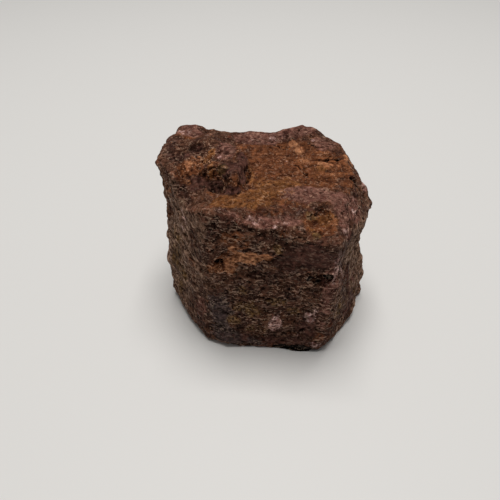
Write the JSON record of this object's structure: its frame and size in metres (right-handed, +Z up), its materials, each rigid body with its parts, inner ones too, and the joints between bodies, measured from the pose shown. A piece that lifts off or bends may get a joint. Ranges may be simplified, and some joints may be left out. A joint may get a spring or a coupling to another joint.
{
  "type": "ruby crystal",
  "caption": "Rough opaque ruby crystal: a stubby hexagonal corundum prism with a knob on its worn head and a flat broken foot to stand on.",
  "frame": {"origin": "on the foot the crystal stands on, under the middle of its box", "axes": "+Z up, along the prism from foot to head; the widest front face looks towards -Y; the head's knob is on the -X side; +X to the right"},
  "size_m": [0.0634, 0.0472, 0.0514],
  "materials": {
    "ruby": "rough, dull to slightly waxy; opaque red-brown with iron stains"
  },
  "bodies": {
    "root": {"ruby_crystal": "ruby"}
  },
  "joints": []
}
